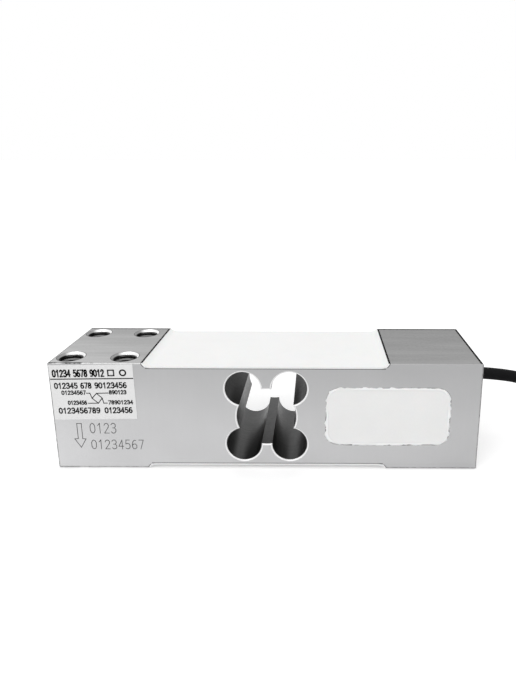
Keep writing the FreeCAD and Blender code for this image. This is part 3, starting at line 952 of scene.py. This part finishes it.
def threadRidge(centreX, centreY, span, settings, points, faces):
    low, high = span
    rise = high - low - 2 * settings["halfRoot"]
    steps = int(rise / settings["pitch"] * settings["perTurn"])
    for i in range(steps + 1):
        turned = math.tau * i / settings["perTurn"]
        middle = low + settings["halfRoot"] + settings["pitch"] * i / settings["perTurn"]
        fade = min(1.0, i / settings["runOut"], (steps - i) / settings["runOut"])
        crest = settings["outer"] - (settings["outer"] - settings["crest"]) * fade
        for radius, offset in ((settings["outer"], -settings["halfRoot"]),
                               (crest, -settings["halfCrest"]),
                               (crest, settings["halfCrest"]),
                               (settings["outer"], settings["halfRoot"])):
            points.append((centreX + radius * math.cos(turned),
                           centreY + radius * math.sin(turned), middle + offset))
        if i:
            a = len(points) - 8
            for k in range(3):
                faces.append((a + k, a + k + 1, a + k + 5, a + k + 4))


def makeThreads(name, side, span, settings):
    points, faces = [], []
    for row in settings["rows"]:
        for column in settings["columns"]:
            threadRidge(side * row, column, span, settings, points, faces)
    data = bpy.data.meshes.new(name)
    data.from_pydata([Vector(p) * mm for p in points], [], faces)
    data.polygons.foreach_set("use_smooth", [False] * len(data.polygons))
    return data


for threadName, side, span in (("load_hole_threads", -1, threadSettings["loadSpan"]),
                               ("fixing_hole_threads", 1, threadSettings["fixedSpan"])):
    addPiece(threadName, makeThreads(threadName, side, span, threadSettings), "shadedThreadCut")
print("threads made")


# flat marks on the front face, as strokes and blocks just proud of the surface under them


strokeOverlap = 0.98  # how far a stroke runs past its corners, in half widths


def strokeInto(points, faces, path, width, place, closed=False):
    corners = [Vector(p) for p in path]
    if closed:
        corners.append(corners[0])
    half = width / 2
    for a, b in zip(corners, corners[1:]):
        along = (b - a).normalized() * half * strokeOverlap
        across = Vector((-along.y, along.x))
        start = len(points)
        points.extend(place(p) for p in (a - along + across, b + along + across,
                                         b + along - across, a - along - across))
        faces.append((start, start + 1, start + 2, start + 3))


digitStrokes = {
    "0": [[(0.3, 1), (0.5, 0.9), (0.6, 0.7), (0.6, 0.3), (0.5, 0.1), (0.3, 0), (0.1, 0.1),
           (0, 0.3), (0, 0.7), (0.1, 0.9), (0.3, 1)]],
    "1": [[(0.1, 0.78), (0.35, 1), (0.35, 0)]],
    "2": [[(0.02, 0.78), (0.12, 0.94), (0.3, 1), (0.5, 0.94), (0.59, 0.78), (0.53, 0.58),
           (0.02, 0), (0.6, 0)]],
    "3": [[(0.03, 0.86), (0.2, 1), (0.42, 1), (0.57, 0.86), (0.57, 0.68), (0.42, 0.54),
           (0.22, 0.53)],
          [(0.42, 0.54), (0.6, 0.4), (0.6, 0.18), (0.44, 0.02), (0.18, 0), (0.02, 0.13)]],
    "4": [[(0.46, 0), (0.46, 1), (0, 0.3), (0.62, 0.3)]],
    "5": [[(0.55, 1), (0.1, 1), (0.05, 0.56), (0.3, 0.63), (0.52, 0.55), (0.6, 0.33),
           (0.52, 0.1), (0.28, 0), (0.02, 0.1)]],
    "6": [[(0.5, 0.96), (0.3, 0.98), (0.1, 0.8), (0.02, 0.5), (0.03, 0.2), (0.18, 0.02),
           (0.42, 0.02), (0.59, 0.18), (0.58, 0.42), (0.42, 0.56), (0.2, 0.55), (0.04, 0.4)]],
    "7": [[(0.02, 1), (0.6, 1), (0.22, 0)]],
    "8": [[(0.3, 0.54), (0.1, 0.64), (0.05, 0.82), (0.18, 0.98), (0.42, 0.98), (0.55, 0.82),
           (0.5, 0.64), (0.3, 0.54), (0.06, 0.4), (0.01, 0.2), (0.15, 0.02), (0.45, 0.02),
           (0.59, 0.2), (0.54, 0.4), (0.3, 0.54)]],
    "9": [[(0.12, 0.04), (0.32, 0.02), (0.52, 0.2), (0.6, 0.5), (0.59, 0.8), (0.44, 0.98),
           (0.2, 0.98), (0.03, 0.82), (0.04, 0.58), (0.2, 0.44), (0.42, 0.45), (0.58, 0.6)]],
}


digitShape = {
    "stretch": 1.12,
    "gap": 0.3,  # left off after the last digit
}


def digitsInto(points, faces, digits, left, base, width, height, line, place):
    # plain digits spread evenly over a width; height is negative where the plane runs downward
    pitch = width / (len(digits) - digitShape["gap"])
    for i, digit in enumerate(digits):
        for stroke in digitStrokes[digit]:
            path = [(left + (i + x * digitShape["stretch"]) * pitch, base + y * height)
                    for x, y in stroke]
            strokeInto(points, faces, path, line, place)


def blockInto(points, faces, low, high, place):
    start = len(points)
    corners = ((low[0], low[1]), (high[0], low[1]), (high[0], high[1]), (low[0], high[1]))
    points.extend(place(Vector(p)) for p in corners)
    faces.append((start, start + 1, start + 2, start + 3))


labelSettings = {
    "middle": (-60.0, 29.25),
    "size": (29.0, 20.4),
    "tilt": 0.8,
    "face": -19.135,
    "rule": (4.95, 0.42, 0.1),  # from the top, thickness, and short of the sides
    "rows": [  # digits, from the left, from the top, width, height, line
        ("01234", 1.2, 1.9, 6.0, 2.35, 0.52), ("5678", 8.5, 1.9, 4.5, 2.35, 0.52),
        ("9012", 14.2, 1.9, 4.6, 2.35, 0.52),
        ("012345", 1.4, 6.7, 7.8, 1.9, 0.44), ("678", 10.5, 6.7, 3.5, 1.9, 0.44),
        ("90123456", 15.4, 6.7, 10.8, 1.9, 0.44),
        ("01234567", 3.6, 9.6, 8.2, 1.3, 0.36), ("890123", 20.1, 9.6, 5.8, 1.3, 0.36),
        ("0123456", 5.4, 13.4, 6.4, 1.3, 0.36), ("78901234", 19.5, 13.4, 8.4, 1.3, 0.36),
        ("0123456789", 1.9, 16.1, 14.2, 1.9, 0.45), ("0123456", 18.0, 16.1, 9.4, 1.9, 0.45),
    ],
    "square": (21.3, 3.05, 1.0),  # middle and half size of a plain block outline
    "ring": (25.4, 3.05, 1.0),
    "ringCorners": 20,
    "markLine": 0.5,
    "diamond": [(15.6, 10.6), (17.4, 12.4), (15.9, 14.3), (13.9, 12.4)],
    "leads": [[(15.6, 10.6), (19.6, 10.5)], [(13.9, 12.4), (13.3, 10.5), (12.1, 10.5)],
              [(15.9, 14.3), (12.5, 14.3)], [(17.4, 12.4), (17.8, 14.3), (19.0, 14.3)]],
    "line": 0.34,
}


def onLabel(place):
    # from the label's upper left corner, right and down, to the tilted film
    width, height = labelSettings["size"]
    x, z = place[0] - width / 2, height / 2 - place[1]
    turned = math.radians(labelSettings["tilt"])
    middleX, middleZ = labelSettings["middle"]
    return (middleX + x * math.cos(turned) - z * math.sin(turned), labelSettings["face"],
            middleZ + x * math.sin(turned) + z * math.cos(turned))


def makeLabelPrint(settings):
    points, faces = [], []
    top, thick, short = settings["rule"]
    blockInto(points, faces, (short, top), (settings["size"][0] - short, top + thick), onLabel)
    for digits, left, fromTop, width, height, line in settings["rows"]:
        digitsInto(points, faces, digits, left, fromTop + height, width, -height, line, onLabel)
    x, y, half = settings["square"]
    square = [(x - half, y - half), (x + half, y - half), (x + half, y + half),
              (x - half, y + half)]
    strokeInto(points, faces, square, settings["markLine"], onLabel, closed=True)
    x, y, radius = settings["ring"]
    turns = [math.tau * i / settings["ringCorners"] for i in range(settings["ringCorners"])]
    ring = [(x + radius * math.cos(turned), y + radius * math.sin(turned)) for turned in turns]
    strokeInto(points, faces, ring, settings["markLine"], onLabel, closed=True)
    strokeInto(points, faces, settings["diamond"], settings["line"], onLabel, closed=True)
    for lead in settings["leads"]:
        strokeInto(points, faces, lead, settings["line"], onLabel)
    return meshFrom("label_print", points, faces, smooth=False)


addPiece("label_print", makeLabelPrint(labelSettings), "printInk")

etchSettings = {
    "face": -19.012,
    "line": 0.26,
    "arrow": [(-65.4, 17.3), (-65.4, 11.4), (-64.25, 11.3), (-66.2, 8.0), (-68.25, 11.3),
              (-67.0, 11.4), (-67.0, 17.3)],
    "rows": [("0123", -62.4, 13.6, 9.1, 3.8), ("01234567", -62.4, 7.4, 18.5, 3.5)],
}


def onFront(place):
    return (place[0], etchSettings["face"], place[1])


def makeEtching(settings):
    points, faces = [], []
    strokeInto(points, faces, settings["arrow"], settings["line"], onFront, closed=True)
    for digits, left, bottom, width, height in settings["rows"]:
        digitsInto(points, faces, digits, left, bottom, width, height, settings["line"], onFront)
    return meshFrom("etched_marks", points, faces, smooth=False)


addPiece("etched_marks", makeEtching(etchSettings), "etchedMetal")
print("marks made")


# filling of the side pocket: a slightly wavy skin with an uneven hand-filled edge

fillingSettings = {
    "left": 21.0,
    "right": 64.3,
    "bottom": 9.4,
    "top": 31.0,
    "corner": 4.75,
    "face": -18.92,
    "back": -1.0,
    "leastCorner": 0.6,
    "perCorner": 10,
    "perSide": 40,
    "skirt": (0.03, 0.02),  # inside the outline, and behind the face
    "smear": 0.95,
    "smearStart": 0.2,
    "smearEnd": 1.2,  # inset at which the edge is even
    "waves": [(0.6, 0.25, 4.0), (0.7, 0.7, 9.0), (0.35, 1.6, 2.0)],  # height, scale, seed
    "ripple": (0.05, 0.25, 1.0),
    "rippleStart": 0.5,
    "rings": [(0.0, -19.02), (0.3, -19.1), (0.75, -19.0), (1.6, -18.94), (3.2, -18.92)],
    "shrinks": (0.8, 0.6, 0.4, 0.2),
}


def roundedOutline(settings, inset):
    left, right = settings["left"] + inset, settings["right"] - inset
    bottom, top = settings["bottom"] + inset, settings["top"] - inset
    radius = max(settings["corner"] - inset, settings["leastCorner"])
    corners = [(right - radius, top - radius, 0), (left + radius, top - radius, 90),
               (left + radius, bottom + radius, 180), (right - radius, bottom + radius, 270)]
    path = []
    for k, (x, z, start) in enumerate(corners):
        for i in range(settings["perCorner"] + 1):
            turned = math.radians(start + 90 * i / settings["perCorner"])
            path.append((x + radius * math.cos(turned), z + radius * math.sin(turned)))
        nextX, nextZ, nextStart = corners[(k + 1) % 4]
        turned = math.radians(nextStart)
        hereX, hereZ = path[-1]
        alongX = nextX + radius * math.cos(turned) - hereX
        alongZ = nextZ + radius * math.sin(turned) - hereZ
        for i in range(1, settings["perSide"]):
            share = i / settings["perSide"]
            path.append((hereX + alongX * share, hereZ + alongZ * share))
    return path


def swellAt(x, z, wave):
    height, scale, seed = wave
    return height * noise.noise(Vector((x * scale, z * scale, seed)))


def makeFilling(settings):
    points, faces, loops = [], [], []
    middleX = (settings["left"] + settings["right"]) / 2
    middleZ = (settings["bottom"] + settings["top"]) / 2

    def addLoop(path):
        start = len(points)
        points.extend(path)
        loops.append(range(start, start + len(path)))

    inset, behind = settings["skirt"]
    skirt = roundedOutline(settings, inset)
    addLoop([(x, settings["back"], z) for x, z in skirt])
    addLoop([(x, settings["face"] + behind, z) for x, z in skirt])
    for inset, depth in settings["rings"]:
        loop = []
        for x, z in roundedOutline(settings, inset):
            swell = sum(swellAt(x, z, wave) for wave in settings["waves"])
            outward = Vector((x - middleX, z - middleZ)).normalized()
            even = max(0.0, 1 - inset / settings["smearEnd"])
            push = settings["smear"] * (settings["smearStart"] + swell) * even
            ripple = swellAt(x, z, settings["ripple"]) if inset > settings["rippleStart"] else 0
            loop.append((x + outward.x * push, depth + ripple, z + outward.y * push))
        addLoop(loop)
    lastInset = settings["rings"][-1][0]
    for shrink in settings["shrinks"]:
        loop = []
        for x, z in roundedOutline(settings, lastInset):
            x, z = middleX + (x - middleX) * shrink, middleZ + (z - middleZ) * shrink
            loop.append((x, settings["face"] + swellAt(x, z, settings["ripple"]), z))
        addLoop(loop)
    for a, b in zip(loops, loops[1:]):
        size = len(a)
        for i in range(size):
            faces.append((a[i], a[(i + 1) % size], b[(i + 1) % size], b[i]))
    faces.append(tuple(loops[0]))
    faces.append(tuple(loops[-1]))
    return meshFrom("pocket_filling", points, faces)


addPiece("pocket_filling", makeFilling(fillingSettings), "pocketSiliconeShaded",
         ("pocket_sealant",))
print("filling made")


# finishes of the solids; a name that fits no key is a core or the cable

nodeFinishes = {
    "spring_element": "aluminiumWithPaintedLight",
    "rating_label": "labelFilm",
    "potting_top": "whiteSilicone",
    "potting_bottom": "whiteSilicone",
    "cable_end_seal": "whiteSilicone",
    "compensation_board": "circuitBoard",
    "board_adhesive_pad": "adhesiveFoam",
    "strain_gauge": "gaugeFilm",
    "terminal_strip": "bareCopper",
    "gauge_leads": "bareCopper",
    "bridge_ribbon": "ribbonPlastic",
    "resistor": "resistorGlaze",
}
for nodeName, node in cadNodes.items():
    finish = next((f for key, f in nodeFinishes.items() if key in nodeName), None)
    if finish is None:
        finish = next(("core" + c.capitalize() for c in coreColours if f"core_{c}" in nodeName),
                      "cableJacket")
    node.data.materials.clear()
    node.data.materials.append(materials[finish])
print("solids finished")


# floor, backdrop and lights

stageSettings = {
    "floorHalf": 6.0,
    "floorDrop": 0.0002,
    "floorShader": {"Base Color": grey(0.86), "Roughness": 0.9, "Emission Color": grey(1.0)},
    "floorLift": (0.3, 2.0, 0.3, 1.0),  # from, to, and the lift at both
    "nearInY": (-0.12, -0.02),  # 1 close in front and behind, 0 further in front
    "nearInX": (0.12, -0.12, 0.2, 1.0),  # most at the left
    "paintedReflectionLift": (1.0, 0.0, 0.6, 0.0),  # painted reflection glow, nearest and furthest
    "worldLight": 0.66,
    "aim": (0.0, 0.0, 0.02),
    "lights": [
        ("keyLight", (-0.45, -0.7, 0.9), 0.9, 4.2),
        ("fillLight", (0.8, -0.55, 0.55), 0.8, 1.0),
        ("topLight", (0.0, 0.25, 1.1), 1.0, 2.6),
    ],
}


def makeFloor(settings):
    half = settings["floorHalf"]
    data = bpy.data.meshes.new("floor")
    data.from_pydata([(-half, -half, 0), (half, -half, 0), (half, half, 0), (-half, half, 0)],
                     [], [(0, 1, 2, 3)])
    floor = newObject("floor", data)
    floor.location.z = -settings["floorDrop"]
    material, tree, shader = newMaterial("paleFloor", settings["floorShader"])
    place, parts = objectPlace(tree)
    away = vectorNode(tree, "LENGTH", {0: place})["Value"]
    seenLift = rangeNode(tree, away, *settings["floorLift"])
    # painted reflection: the floor glows only for glossy rays, most close in front of the block's
    # left
    nearest = product(tree, rangeNode(tree, parts[1], *settings["nearInY"]),
                      rangeNode(tree, parts[0], *settings["nearInX"]))
    paintedReflection = rangeNode(tree, nearest, *settings["paintedReflectionLift"])
    path = newNode(tree, "ShaderNodeLightPath").outputs
    lift = mathNode(tree, "ADD", product(tree, path["Is Camera Ray"], seenLift),
                    product(tree, path["Is Glossy Ray"], paintedReflection))
    tree.links.new(lift, shader.inputs["Emission Strength"])
    data.materials.append(material)


def makeWorld(settings):
    world = bpy.data.worlds.new("softWorld")
    bpy.context.scene.world = world
    world.use_nodes = True
    tree = world.node_tree
    background = tree.nodes["Background"]
    background.inputs["Color"].default_value = grey(1.0)
    path = newNode(tree, "ShaderNodeLightPath").outputs
    seen = mathNode(tree, "MAXIMUM", path["Is Camera Ray"], path["Is Glossy Ray"])
    seen = mathNode(tree, "MAXIMUM", seen, path["Is Transmission Ray"])
    tree.links.new(rangeNode(tree, seen, 0.0, 1.0, settings["worldLight"], 1.0),
                   background.inputs["Strength"])


def makeLights(settings):
    for name, place, size, power in settings["lights"]:
        data = bpy.data.lights.new(name, "AREA")
        data.shape = "DISK"
        data.size = size
        data.energy = power
        light = newObject(name, data)
        light.location = place
        aim = Vector(settings["aim"]) - Vector(place)
        light.rotation_euler = aim.to_track_quat("-Z", "Y").to_euler()


makeFloor(stageSettings)
makeWorld(stageSettings)
makeLights(stageSettings)
bpy.context.scene.view_settings.view_transform = "Standard"
print("stage made")
